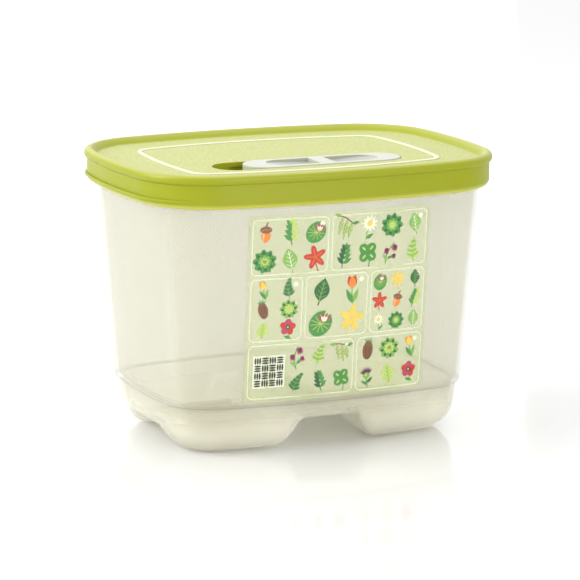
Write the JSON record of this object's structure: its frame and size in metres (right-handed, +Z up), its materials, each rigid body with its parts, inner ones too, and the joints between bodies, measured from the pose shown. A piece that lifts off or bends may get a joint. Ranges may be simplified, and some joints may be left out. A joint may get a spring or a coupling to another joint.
{
  "type": "produce keeper",
  "caption": "Translucent rounded-rectangular food keeper on four moulded feet, with a soft snap lid, a sliding lid vent and a printed chart on the front wall.",
  "frame": {"origin": "on the table under the middle of the tub", "axes": "+X along the length towards the vent's closed end, the printed front wall faces -Y, +Z up"},
  "size_m": [0.184, 0.1392, 0.1346],
  "materials": {
    "tub_plastic": "milky translucent polypropylene, smooth with a soft sheen",
    "lid_plastic": "soft lime green polyethylene, satin sides and a finely grained pan",
    "slider_plastic": "smooth white, satin gloss",
    "chart_film": "thin translucent film with small coloured plant motifs"
  },
  "bodies": {
    "tub": {"tub": "tub_plastic", "printed_chart": "chart_film"},
    "lid": {"lid": "lid_plastic"},
    "vent_slider": {"vent_slider": "slider_plastic"}
  },
  "joints": [
    {"name": "lid_lift", "type": "slide", "parent": "tub", "child": "lid", "axis": [0, 0, 1], "range_m": [0, 0.08]},
    {"name": "vent_slide", "type": "slide", "parent": "lid", "child": "vent_slider", "axis": [-1, 0, 0], "range_m": [0, 0.015]}
  ]
}
